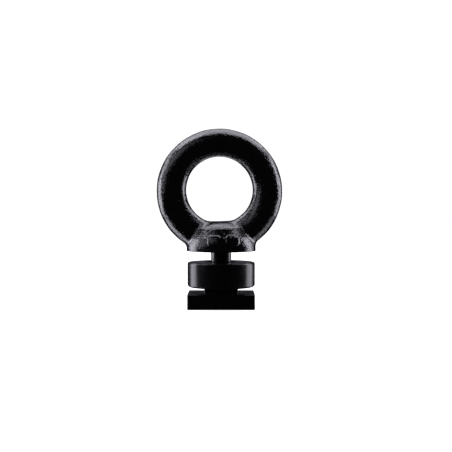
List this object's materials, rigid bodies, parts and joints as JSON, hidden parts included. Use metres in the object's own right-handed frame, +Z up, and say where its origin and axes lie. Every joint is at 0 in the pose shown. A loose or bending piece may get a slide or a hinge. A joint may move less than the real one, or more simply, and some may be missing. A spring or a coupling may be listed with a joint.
{
  "type": "rail lashing eye bolt",
  "caption": "Forged eye bolt with a coned base, screwed through a turned spacer into a T-shaped channel nut, for tying loads down to a slotted rail.",
  "frame": {"origin": "middle of the channel nut's flat underside, on the thread's axis", "axes": "+Z up the eye bolt's thread axis towards the ring; +X across the channel, in the ring's plane at rest; +Y along the channel, through the ring's hole at rest"},
  "size_m": [0.0362, 0.0204, 0.0518],
  "materials": {
    "nut_coat": "black coated steel, sawn and lightly brushed, satin",
    "spacer_coat": "black coated turned steel, smooth satin",
    "forged_coat": "black coated drop-forged steel, semi-gloss with a fine pebbled skin"
  },
  "bodies": {
    "channel_nut": {"channel_nut": "nut_coat"},
    "spacer": {"spacer": "spacer_coat"},
    "eye_bolt": {"eye_bolt": "forged_coat"}
  },
  "joints": [
    {"name": "ring_turn", "type": "hinge", "parent": "channel_nut", "child": "spacer", "pos_m": [0, 0, 0.0097], "axis": [0, 0, 1], "range_deg": [-882, 540]},
    {"name": "eye_travel", "type": "slide", "parent": "spacer", "child": "eye_bolt", "axis": [0, 0, 1], "range_m": [-0.0031, 0.002]}
  ],
  "couplings": [
    {"joint": "eye_travel", "follows": "ring_turn", "m_per_rad": 0.00019894}
  ]
}
